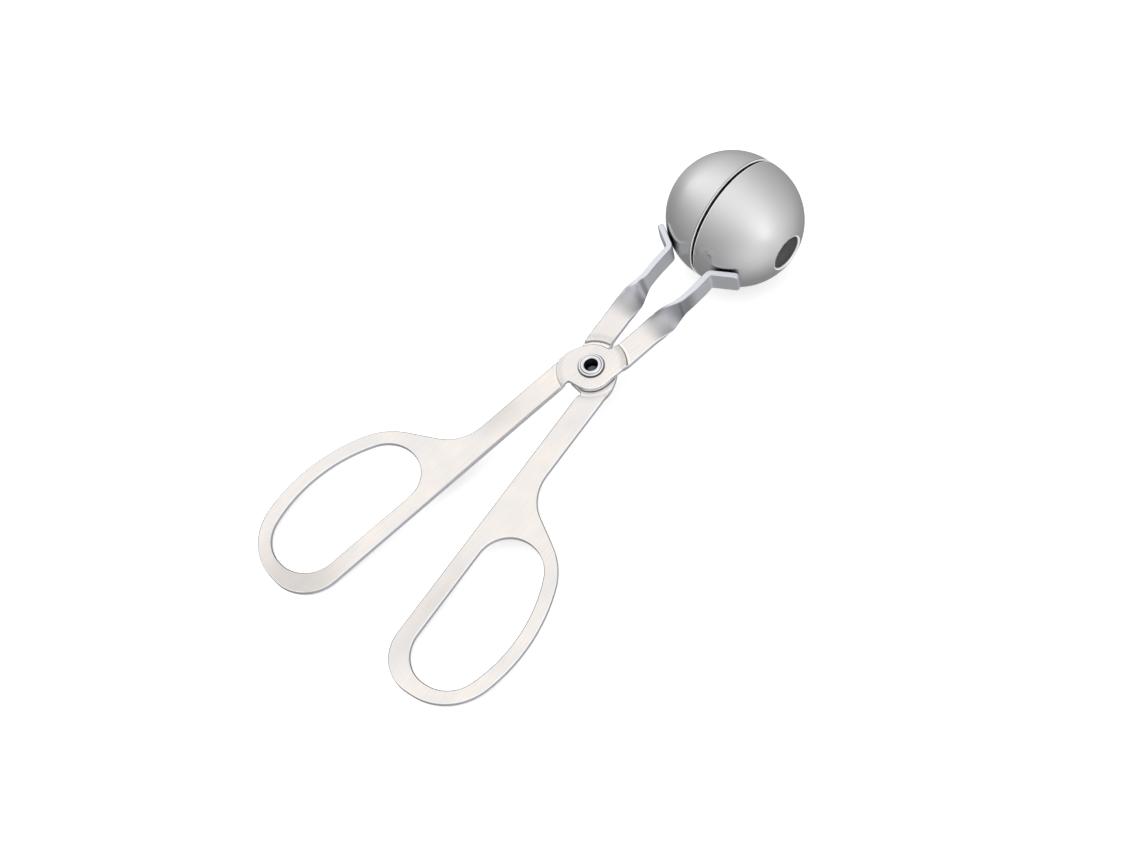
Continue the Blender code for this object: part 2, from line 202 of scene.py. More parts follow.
def dress(piece: Object, materials: list[Material], slots: list[int]) -> None:
    """Give a piece its materials.

    Args:
        piece: the piece.
        materials: the materials, in the order of their slots.
        slots: the slot that each face takes its material from.
    """
    piece.data.materials.clear()
    for material in materials:
        piece.data.materials.append(material)
    for face, slot in zip(piece.data.polygons, slots):
        face.material_index = slot


def weigh_normals(piece: Object, kinds: list[ArmFace] | list[CupFace]) -> None:
    """Let a piece's strong faces shade flat right up to the weak ones that round its edges.

    Args:
        piece: the piece, shaded smooth.
        kinds: what each face is.
    """
    for strength in sorted({kind.strength for kind in kinds}):
        edit_faces(piece, lambda face: kinds[face.index].strength == strength)
        bpy.ops.mesh.mod_weighted_strength(set=True, face_strength=strength)
        bpy.ops.object.mode_set(mode="OBJECT")
    select_only(piece)
    weighted = piece.modifiers.new("rounded", "WEIGHTED_NORMAL")
    weighted.mode = "FACE_AREA_WITH_ANGLE"
    weighted.keep_sharp = True
    weighted.use_face_influence = True
    bpy.ops.object.modifier_apply(modifier=weighted.name)


@dataclass(frozen=True)
class PivotFrame:
    """The tongs' own frame: origin on the pivot, X to the ball, Z along the rivet to its lip."""

    pivot: Vector
    up: Vector

    @classmethod
    def from_joint(cls, joint: dict) -> "PivotFrame":
        """Read the frame from the record's hinge."""
        return cls(Vector(joint["pos_m"]), -Vector(joint["axis"]).normalized())

    @property
    def matrix(self) -> Matrix:
        """Where the tongs' frame lies in the world.

        Returns:
            The matrix that takes a place in the tongs' frame to the world.
        """
        across = Vector((0.0, 1.0, 0.0))
        along = across.cross(self.up)
        turn = Matrix((along, across, self.up)).transposed()
        return Matrix.Translation(self.pivot) @ turn.to_4x4()


@dataclass(frozen=True)
class CreaseShade:
    """Painted shade deep in a finish's creases, with a painted highlight on the metal just beside them.

    A place is deep, clear or wide open by the share of its surroundings, within reach, that is free.
    """

    reach: float
    shade: float = 0.1
    # The painted highlight just beside a crease multiplies the colour by this.
    highlight_brightness: float = 1.15
    deep: float = 0.35
    clear: float = 0.88
    wide: float = 0.97

    def paint_crease_shade(
        self, tree: NodeTree, colour: NodeSocket | tuple[float, ...], bright: NodeSocket | float = 1.0
    ) -> NodeSocket:
        """Paint shade into a finish's creases and a highlight just beside them.

        Args:
            tree: the finish's node tree.
            colour: the finish's colour away from creases.
            bright: what its colour is multiplied by away from creases.

        Returns:
            The colour with the painted shade and highlight.
        """
        # Ambient occlusion darkens the colour deep in creases (painted shade) and brightens it just outside
        # them (painted highlight).
        free = add_node(tree, "ShaderNodeAmbientOcclusion", {"Distance": self.reach}, samples=8).outputs["AO"]
        crease_lightness = add_node(
            tree,
            "ShaderNodeMapRange",
            {"Value": free, "From Min": self.deep, "From Max": self.clear, "To Min": self.shade},
        ).outputs["Result"]
        painted_highlight = add_node(
            tree,
            "ShaderNodeMapRange",
            {
                "Value": free,
                "From Min": self.clear,
                "From Max": self.wide,
                "To Min": self.highlight_brightness,
                "To Max": 1.0,
            },
            interpolation_type="SMOOTHSTEP",
        ).outputs["Result"]
        crease_lightness = add_node(tree, "ShaderNodeMath", {0: crease_lightness, 1: painted_highlight}, operation="MULTIPLY").outputs["Value"]
        shade = add_node(tree, "ShaderNodeMath", {0: bright, 1: crease_lightness}, operation="MULTIPLY").outputs["Value"]
        return add_node(tree, "ShaderNodeVectorMath", {0: colour, 3: shade}, operation="SCALE").outputs[0]


@dataclass(frozen=True, kw_only=True)
class PaintedShading:
    """Painted shading on the plate, with a soft edge: a shade under 1 paints shade, over 1 a highlight."""

    shade: float
    soft: float = 0.5

    def fade(self, tree: NodeTree, off: NodeSocket, edge: float, bright: NodeSocket) -> NodeSocket:
        """Change the plate's brightness inside the trace.

        Args:
            tree: the finish's node tree.
            off: how far a place lies from the trace's middle.
            edge: how far the trace's edge lies from it.
            bright: the plate's brightness without the trace.

        Returns:
            The brightness with the trace.
        """
        shade = add_node(
            tree,
            "ShaderNodeMapRange",
            {
                "Value": off,
                "From Min": edge * (1.0 - self.soft),
                "From Max": edge * (1.0 + self.soft),
                "To Min": self.shade,
                "To Max": 1.0,
            },
            interpolation_type="SMOOTHSTEP",
        ).outputs["Result"]
        return add_node(tree, "ShaderNodeMath", {0: bright, 1: shade}, operation="MULTIPLY").outputs["Value"]


@dataclass(frozen=True, kw_only=True)
class PaintedShadingOval(PaintedShading):
    """An oval of painted shading, darker or brighter by its shade, in the plane of the arm's strip."""

    place: tuple[float, float]
    reach: tuple[float, float]

    def cover(self, tree: NodeTree, along: NodeSocket, bright: NodeSocket) -> NodeSocket:
        """Paint the oval on the plate.

        Args:
            tree: the finish's node tree.
            along: the place along and across the strip.
            bright: the plate's brightness without the mark.

        Returns:
            The brightness with the mark.
        """
        to_middle = (-self.place[0], -self.place[1], 0.0)
        near = add_node(tree, "ShaderNodeVectorMath", {0: along, 1: to_middle}, operation="ADD").outputs[0]
        scale = (1 / self.reach[0], 1 / self.reach[1], 0.0)
        near = add_node(tree, "ShaderNodeVectorMath", {0: near, 1: scale}, operation="MULTIPLY").outputs[0]
        off = add_node(tree, "ShaderNodeVectorMath", {0: near}, operation="LENGTH").outputs["Value"]
        return self.fade(tree, off, 1.0, bright)


@dataclass(frozen=True, kw_only=True)
class PaintedShadingRing(PaintedShading):
    """A line of painted shading round the pivot: shade and highlight along the joggle's step, and shade round
    the rivet.
    """

    radius: float
    width: float
    tip_side_only: bool = False

    def cover(self, tree: NodeTree, along: NodeSocket, bright: NodeSocket) -> NodeSocket:
        """Paint the line on the plate.

        Args:
            tree: the finish's node tree.
            along: the place along and across the strip.
            bright: the plate's brightness without the line.

        Returns:
            The brightness with the line.
        """
        plane = (1.0, 1.0, 0.0)
        flat = add_node(tree, "ShaderNodeVectorMath", {0: along, 1: plane}, operation="MULTIPLY").outputs[0]
        reach = add_node(tree, "ShaderNodeVectorMath", {0: flat}, operation="LENGTH").outputs["Value"]
        off = add_node(tree, "ShaderNodeMath", {0: reach, 1: self.radius}, operation="SUBTRACT").outputs[0]
        off = add_node(tree, "ShaderNodeMath", {0: off}, operation="ABSOLUTE").outputs[0]
        if self.tip_side_only:
            ahead = add_node(tree, "ShaderNodeSeparateXYZ", {0: along}).outputs["X"]
            behind = add_node(tree, "ShaderNodeMath", {0: ahead, 1: 0.0}, operation="LESS_THAN").outputs[0]
            off = add_node(tree, "ShaderNodeMath", {0: off, 1: behind}, operation="ADD").outputs[0]
        return self.fade(tree, off, self.width / 2, bright)


PaintedShadings = tuple[PaintedShadingOval | PaintedShadingRing, ...]


@dataclass(frozen=True)
class BrushedPlate:
    """Stainless steel sheet, brushed on an abrasive band before it was pressed: pale, satin, with fine long
    grain.
    """

    warm: str = "#f2ebe5"
    cool: str = "#e7e4e2"
    # From the twist on, the upright tips take this darker, cooler colour as painted shade.
    painted_shade_tip: str = "#dfe0e6"
    roughness: tuple[float, float] = (0.39, 0.49)
    cloud_size: float = 14 * MM
    cloud_span: tuple[float, float] = (0.35, 0.65)
    warm_end: float = 30 * MM
    # The abrasive band's real lines, under 0.1 mm wide, are too fine to show, so the grain is made coarser.
    grain_width: float = 0.5 * MM
    grain_length: float = 9 * MM
    grain_depth: float = 0.004 * MM
    grain_shades: tuple[float, float] = (0.95, 1.04)
    # Painted shade in the plate's creases, with a painted highlight beside them.
    crease_shade: CreaseShade = CreaseShade(reach=0.9 * MM)

    def material(self, name: str, tongs: PivotFrame, lean: float, marks: PaintedShadings) -> Material:
        """Make the finish with its grain along one arm's strip.

        Args:
            name: the material's name.
            tongs: the tongs' frame.
            lean: the angle of the arm's strip about the pivot.
            marks: the painted shading on the arm, darker or brighter patches and lines.

        Returns:
            The material.
        """
        material, shader = start_material(name)
        tree = material.node_tree
        turn = (tongs.matrix.to_3x3() @ Matrix.Rotation(lean, 3, "Z")).to_euler()
        place = add_node(tree, "ShaderNodeTexCoord").outputs["Object"]
        along = add_node(
            tree,
            "ShaderNodeMapping",
            {"Vector": place, "Location": tongs.pivot, "Rotation": turn},
            vector_type="TEXTURE",
        ).outputs["Vector"]
        stretch = (1 / self.grain_length, 1 / self.grain_width, 1 / self.grain_width)
        combed = add_node(
            tree, "ShaderNodeVectorMath", {0: along, 1: stretch}, operation="MULTIPLY"
        ).outputs["Vector"]
        noise = {"Vector": combed, "Scale": 1.0, "Detail": 4.0}
        grain = add_node(tree, "ShaderNodeTexNoise", noise).outputs["Fac"]
        dim, bright = self.grain_shades
        shade = add_node(
            tree, "ShaderNodeMapRange", {"Value": grain, **NOISE_SPAN, "To Min": dim, "To Max": bright}
        ).outputs["Result"]
        # Each mark multiplies the brightness: below 1 it paints shade, above 1 a highlight.
        for mark in marks:
            shade = mark.cover(tree, along, shade)
        smooth, coarse = self.roughness
        rough = add_node(
            tree, "ShaderNodeMapRange", {"Value": grain, **NOISE_SPAN, "To Min": smooth, "To Max": coarse}
        ).outputs["Result"]
        bump = add_node(
            tree, "ShaderNodeBump", {"Height": grain, "Distance": self.grain_depth, "Strength": 1.0}
        ).outputs["Normal"]
        colour = self.crease_shade.paint_crease_shade(tree, self.cloudy_colour(tree, along), shade)
        set_inputs(shader, {"Base Color": colour, "Metallic": 1.0, "Roughness": rough, "Normal": bump})
        return material

    def cloudy_colour(self, tree: NodeTree, along: NodeSocket) -> NodeSocket:
        """Tint the plate in warm and cool clouds up to the twist, and past it in one darker, cooler colour:
        painted shade on the upright tips.

        Args:
            tree: the finish's node tree.
            along: the place along and across the strip.

        Returns:
            The colour before the painted shading of creases and marks.
        """
        noise = {"Vector": along, "Scale": 1 / self.cloud_size, "Detail": 3.0}
        clouds = add_node(tree, "ShaderNodeTexNoise", noise).outputs["Fac"]
        thin, thick = self.cloud_span
        warmth = add_node(
            tree, "ShaderNodeMapRange", {"Value": clouds, "From Min": thin, "From Max": thick}
        ).outputs["Result"]
        colour = add_node(
            tree, "ShaderNodeMix", {0: warmth, 6: linear(self.cool), 7: linear(self.warm)}, data_type="RGBA"
        ).outputs[2]
        ahead = add_node(tree, "ShaderNodeSeparateXYZ", {0: along}).outputs["X"]
        cloudy = add_node(
            tree,
            "ShaderNodeMapRange",
            {
                "Value": ahead,
                "From Min": self.warm_end - self.cloud_size,
                "From Max": self.warm_end,
                "To Min": 1.0,
                "To Max": 0.0,
            },
        ).outputs["Result"]
        return add_node(
            tree, "ShaderNodeMix", {0: cloudy, 6: linear(self.painted_shade_tip), 7: colour}, data_type="RGBA"
        ).outputs[2]


@dataclass(frozen=True)
class ShearedEdge:
    """The plate's cut sides: torn by the blanking die, then tumbled, so duller and darker than the faces."""

    colour: str = "#dddfe6"
    roughness: tuple[float, float] = (0.34, 0.5)
    # The real tears, of about 0.1 mm, are too fine to show, so the grit is made coarser.
    grit: float = 0.7 * MM
    # Painted shade in the side's creases, with a painted highlight beside them.
    crease_shade: CreaseShade = CreaseShade(reach=0.9 * MM)

    def material(self, name: str) -> Material:
        """Make the finish.

        Args:
            name: the material's name.

        Returns:
            The material.
        """
        material, shader = start_material(name)
        tree = material.node_tree
        place = add_node(tree, "ShaderNodeTexCoord").outputs["Object"]
        noise = {"Vector": place, "Scale": 1 / self.grit, "Detail": 3.0}
        grit = add_node(tree, "ShaderNodeTexNoise", noise).outputs["Fac"]
        smooth, coarse = self.roughness
        rough = add_node(
            tree, "ShaderNodeMapRange", {"Value": grit, **NOISE_SPAN, "To Min": smooth, "To Max": coarse}
        ).outputs["Result"]
        colour = self.crease_shade.paint_crease_shade(tree, linear(self.colour)[:3])
        set_inputs(shader, {"Base Color": colour, "Metallic": 1.0, "Roughness": rough})
        return material


@dataclass(frozen=True)
class LitAndShadedChamfer:
    """The plate's fine chamfers: white where they face away from the heading below, a painted highlight, and
    dark grey where they face along it, a painted shade.
    """

    painted_highlight: str = "#ffffff"
    painted_shade_colour: str = "#54565c"
    roughness: float = 0.42
    # The heading of the chamfers that are painted dark as shade, with the tongs at rest.
    shade_heading: tuple[float, float, float] = (0.66, 0.75, 0.0)
    soft: float = 0.4

    def material(self, name: str) -> Material:
        """Make the finish.

        Args:
            name: the material's name.

        Returns:
            The material.
        """
        material, shader = start_material(name)
        tree = material.node_tree
        facing = add_node(tree, "ShaderNodeNewGeometry").outputs["True Normal"]
        facing = add_node(
            tree, "ShaderNodeVectorTransform", {"Vector": facing}, vector_type="NORMAL", convert_to="OBJECT"
        ).outputs["Vector"]
        shade_facing = add_node(
            tree, "ShaderNodeVectorMath", {0: facing, 1: self.shade_heading}, operation="DOT_PRODUCT"
        ).outputs["Value"]
        # Chamfers that face along the heading turn dark grey (painted shade), and the others turn white
        # (painted highlight).
        share = add_node(
            tree,
            "ShaderNodeMapRange",
            {"Value": shade_facing, "From Min": -self.soft, "From Max": self.soft},
            interpolation_type="SMOOTHSTEP",
        ).outputs["Result"]
        colour = add_node(
            tree, "ShaderNodeMix", {0: share, 6: linear(self.painted_highlight), 7: linear(self.painted_shade_colour)}, data_type="RGBA"
        ).outputs[2]
        set_inputs(shader, {"Base Color": colour, "Metallic": 1.0, "Roughness": self.roughness})
        return material


@dataclass(frozen=True)
class SpunShell:
    """Stainless steel cup, polished while it turned: fine rings round its pole stretch each reflection."""

    colour: str = "#bdbdbd"
    roughness: tuple[float, float] = (0.37, 0.39)
    anisotropy: float = 0.8
    anisotropy_turn: float = 0.25
    gloss: float = 0.03
    gloss_ior: float = 4.0
    # The wheel's real rings, under 0.1 mm apart, are too fine to show, so these are made coarser.
    ring_pitch: float = 0.5 * MM
    # Painted shade in the cup's creases and where other parts come close, with a painted highlight beside it.
    crease_shade: CreaseShade = CreaseShade(reach=0.85 * MM)

    def material(self, name: str) -> Material:
        """Make the finish, with its rings round the tongs' Y axis.

        Args:
            name: the material's name.

        Returns:
            The material.
        """
        material, shader = start_material(name)
        tree = material.node_tree
        place = add_node(tree, "ShaderNodeTexCoord").outputs["Object"]
        across = add_node(tree, "ShaderNodeSeparateXYZ", {0: place}).outputs["Y"]
        noise = {"W": across, "Scale": 1 / self.ring_pitch, "Detail": 2.0}
        rings = add_node(tree, "ShaderNodeTexNoise", noise, noise_dimensions="1D").outputs["Fac"]
        smooth, coarse = self.roughness
        rough = add_node(
            tree, "ShaderNodeMapRange", {"Value": rings, **NOISE_SPAN, "To Min": smooth, "To Max": coarse}
        ).outputs["Result"]
        tangent = add_node(tree, "ShaderNodeTangent", direction_type="RADIAL", axis="Y").outputs["Tangent"]
        look = {
            "Base Color": self.crease_shade.paint_crease_shade(tree, linear(self.colour)[:3]),
            "Metallic": 1.0,
            "Roughness": rough,
            "Anisotropic": self.anisotropy,
            "Anisotropic Rotation": self.anisotropy_turn,
            "Tangent": tangent,
            "Coat Weight": 1.0,
            "Coat Roughness": self.gloss,
            "Coat IOR": self.gloss_ior,
        }
        set_inputs(shader, look)
        return material


@dataclass(frozen=True)
class PaintedToneSteel:
    """Steel in one plain colour, roughness and shine, without clear reflections.

    Where it is used it paints light and shade: the front cup's light, mostly matt inside is painted light,
    and the darker steel inside the rear cup, on the cups' inward rounds and in the rivet's bore is painted
    shade.
    """

    colour: str
    roughness: float
    shine: float = 1.0

    def material(self, name: str) -> Material:
        """Make the finish.

        Args:
            name: the material's name.

        Returns:
            The material.
        """
        material, shader = start_material(name)
        look = {"Base Color": linear(self.colour), "Metallic": self.shine, "Roughness": self.roughness}
        set_inputs(shader, look)
        return material


@dataclass(frozen=True)
class HighlightRim(PaintedToneSteel):
    """The cup's rim and the lip of its drain hole: white and partly matt, a painted highlight line."""

    colour: str = "#ffffff"
    roughness: float = 0.5
    shine: float = 0.45


@dataclass(frozen=True)
class RolledSteel:
    """Bright rivet steel: the setting tool burnished its lip and head, and its groove and the lip's foot get
    painted shade.
    """

    colour: str = "#e3e4e8"
    roughness: tuple[float, float] = (0.08, 0.22)
    burnish_size: float = 1.11 * MM
    # Painted shade in the groove and where the lip meets the arm, with a painted highlight beside it.
    crease_shade: CreaseShade = CreaseShade(reach=0.5 * MM, shade=0.05)

    def material(self, name: str) -> Material:
        """Make the finish.

        Args:
            name: the material's name.

        Returns:
            The material.
        """
        material, shader = start_material(name)
        tree = material.node_tree
        place = add_node(tree, "ShaderNodeTexCoord").outputs["Object"]
        noise = {"Vector": place, "Scale": 1 / self.burnish_size, "Detail": 3.0}
        marks = add_node(tree, "ShaderNodeTexNoise", noise).outputs["Fac"]
        smooth, coarse = self.roughness
        rough = add_node(
            tree, "ShaderNodeMapRange", {"Value": marks, **NOISE_SPAN, "To Min": smooth, "To Max": coarse}
        ).outputs["Result"]
        colour = self.crease_shade.paint_crease_shade(tree, linear(self.colour)[:3])
        set_inputs(shader, {"Base Color": colour, "Metallic": 1.0, "Roughness": rough})
        return material


@dataclass
class Arm:
    """One stamped arm, finished from its CAD node: brushed faces, duller sheared sides, soft edges with a
    painted highlight and shade.
    """

    side: Side
    tongs: PivotFrame
    lean: float = math.radians(6.5)
    # A face whose normal rises by less than this is upright, so it is a sheared side.
    upright_slack: float = 0.02
    side_flow: float = math.radians(26.0)
    # Past the pivot the plate is flat up to the first, and its chamfers get their painted highlight and shade
    # up to the second.
    flat_reach: float = 17.0 * MM
    chamfer_paint_reach: float = 26.0 * MM
    merge: float = 0.001 * MM
    flat_angle: float = math.radians(0.4)
    # Edges that bend by more than the first look sharp, and so do folds by more than the second.
    soft_angle: float = math.radians(50.0)
    fold_angle: float = math.radians(35.0)
    finish: BrushedPlate = BrushedPlate()
    edge_finish: ShearedEdge = ShearedEdge()
    chamfer_light_and_shade: LitAndShadedChamfer = LitAndShadedChamfer()
    # Painted shade and highlights: at the twists, along the joggle's step and round the rivet, and darker
    # patches on the strips and loops.
    marks: dict[Side, PaintedShadings] = field(
        default_factory=lambda: {
            Side.FRONT: (
                PaintedShadingOval(place=(27.2 * MM, -3.8 * MM), reach=(5.0 * MM, 14.0 * MM), shade=0.6, soft=0.7),
                PaintedShadingOval(place=(30.4 * MM, -0.7 * MM), reach=(4.6 * MM, 1.2 * MM), shade=0.45, soft=0.6),
                PaintedShadingOval(place=(34.3 * MM, -5.7 * MM), reach=(0.6 * MM, 1.7 * MM), shade=0.65, soft=0.7),
                PaintedShadingOval(place=(35.0 * MM, -3.8 * MM), reach=(4.5 * MM, 14.0 * MM), shade=0.5, soft=0.6),
                PaintedShadingOval(place=(-31.0 * MM, 9.3 * MM), reach=(7.0 * MM, 5.0 * MM), shade=0.86, soft=0.9),
                PaintedShadingOval(place=(30.9 * MM, -6.9 * MM), reach=(2.0 * MM, 1.4 * MM), shade=1.65, soft=0.9),
                PaintedShadingOval(place=(-116.0 * MM, 8.0 * MM), reach=(14.0 * MM, 16.0 * MM), shade=0.78, soft=0.7),
                PaintedShadingRing(radius=10.3 * MM, width=1.8 * MM, shade=0.86, soft=0.9),
                PaintedShadingRing(radius=11.35 * MM, width=0.3 * MM, shade=0.8),
                PaintedShadingRing(radius=11.35 * MM, width=0.45 * MM, shade=0.42, tip_side_only=True),
                PaintedShadingRing(radius=11.95 * MM, width=0.6 * MM, shade=1.13, tip_side_only=True),
                PaintedShadingRing(radius=4.2 * MM, width=0.5 * MM, shade=0.3),
            ),
            Side.REAR: (
                PaintedShadingOval(place=(27.0 * MM, 3.8 * MM), reach=(5.0 * MM, 14.0 * MM), shade=0.62, soft=0.7),
                PaintedShadingOval(place=(33.2 * MM, 2.2 * MM), reach=(1.0 * MM, 2.2 * MM), shade=0.6, soft=0.7),
                PaintedShadingOval(place=(-94.0 * MM, -6.0 * MM), reach=(14.0 * MM, 4.0 * MM), shade=0.88, soft=0.9),
                PaintedShadingOval(place=(31.0 * MM, 4.0 * MM), reach=(1.3 * MM, 2.2 * MM), shade=1.5, soft=0.8),
                PaintedShadingRing(radius=11.6 * MM, width=1.6 * MM, shade=0.86, soft=0.9, tip_side_only=True),
                PaintedShadingRing(radius=9.2 * MM, width=1.2 * MM, shade=1.12),
            ),
        }
    )

    def build(self) -> Object:
        """Make the arm and hang it on its body.

        Returns:
            The finished arm.
        """
        piece = self.merged_copy(frame["nodes"][f"{self.side.value}_arm"])
        kinds = self.sort_faces(piece)
        lean = -self.lean * self.side.sign
        materials = [
            self.finish.material(f"brushed_{self.side.value}_plate", self.tongs, lean, self.marks[self.side]),
            self.edge_finish.material(f"sheared_{self.side.value}_edge"),
            self.chamfer_light_and_shade.material(f"lit_and_shaded_{self.side.value}_chamfer"),
        ]
        # Chamfers past this point take the plate's material instead of their painted highlight and shade.
        chamfer_paint_end = self.tongs.pivot.x + self.chamfer_paint_reach
        slots = [
            ArmFace.BROAD if kind is ArmFace.CHAMFER and face.center.x >= chamfer_paint_end else kind
            for face, kind in zip(piece.data.polygons, kinds)
        ]
        dress(piece, materials, slots)
        self.soften(piece, kinds)
        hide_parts(f"{self.side.value}_arm")
        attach(piece, self.side.body)
        return piece

    def merged_copy(self, node: Object) -> Object:
        """Copy a CAD node and join its loose triangles.

        Args:
            node: the CAD node.

        Returns:
            The copy, with whole faces.
        """
        piece = bpy.data.objects.new(f"{self.side.value}_stamped_arm", node.data.copy())
        bpy.context.scene.collection.objects.link(piece)
        select_only(piece)
        bpy.ops.object.mode_set(mode="EDIT")
        bpy.ops.mesh.select_all(action="SELECT")
        bpy.ops.mesh.remove_doubles(threshold=self.merge)
        bpy.ops.mesh.dissolve_limited(angle_limit=self.flat_angle)
        bpy.ops.mesh.select_all(action="DESELECT")
        bpy.ops.object.mode_set(mode="OBJECT")
        return piece

    def flow_from(self, piece: Object, wanted: Callable[[MeshPolygon], bool]) -> set[int]:
        """Follow faces over every edge that hardly bends, as round the twist.

        Args:
            piece: the arm.
            wanted: says whether the flow starts from a face.

        Returns:
            The faces that the flow starts from or reaches.
        """
        edit_faces(piece, wanted)
        bpy.ops.mesh.faces_select_linked_flat(sharpness=self.side_flow)
        bpy.ops.object.mode_set(mode="OBJECT")
        return {face.index for face in piece.data.polygons if face.select}

    def sort_faces(self, piece: Object) -> list[ArmFace]:
        """Tell the plate's broad faces from its sheared sides and the chamfers between them.

        Args:
            piece: the arm.

        Returns:
            What each face is.
        """
        faces = piece.data.polygons
        bend_start = self.tongs.pivot.x + self.flat_reach
        bent = {face.index for face in faces if face.center.x > bend_start}
        upright = {face.index for face in faces if abs(face.normal.dot(self.tongs.up)) < self.upright_slack}
        reached = self.flow_from(piece, lambda face: face.index in upright and face.center.x < bend_start)
        sides = reached & (upright | bent)
        rim = {key for face in faces if face.index in sides for key in face.edge_keys}
        beside = {face.index for face in faces if not rim.isdisjoint(face.edge_keys)} - sides
        reached = self.flow_from(piece, lambda face: face.index in beside)
        chamfers = beside | (reached & bent)
        kinds = [ArmFace.BROAD] * len(faces)
        for index in chamfers:
            kinds[index] = ArmFace.CHAMFER
        for index in sides:
            kinds[index] = ArmFace.SIDE
        return kinds

    def soften(self, piece: Object, kinds: list[ArmFace]) -> None:
        """Round the look of the chamfers, with the broad faces and the sides kept flat.

        Args:
            piece: the arm.
            kinds: what each face is.
        """
        select_only(piece)
        bpy.ops.object.shade_smooth_by_angle(angle=self.soft_angle)
        self.crease_folds(piece, kinds)
        weigh_normals(piece, kinds)
        LOG.info("%s: %s", piece.name, {kind.name: kinds.count(kind) for kind in ArmFace})

    def crease_folds(self, piece: Object, kinds: list[ArmFace]) -> None:
        """Keep the joggle's steep wall crisp between the broad faces.

        Args:
            piece: the arm.
            kinds: what each face is.
        """
        faces = piece.data.polygons
        beside: dict[tuple[int, int], list[int]] = {}
        for face in faces:
            for key in face.edge_keys:
                beside.setdefault(key, []).append(face.index)
        for edge in piece.data.edges:
            pair = beside[edge.key]
            if len(pair) == 2 and all(kinds[index] is ArmFace.BROAD for index in pair):
                if faces[pair[0]].normal.angle(faces[pair[1]].normal) > self.fold_angle:
                    edge.use_edge_sharp = True


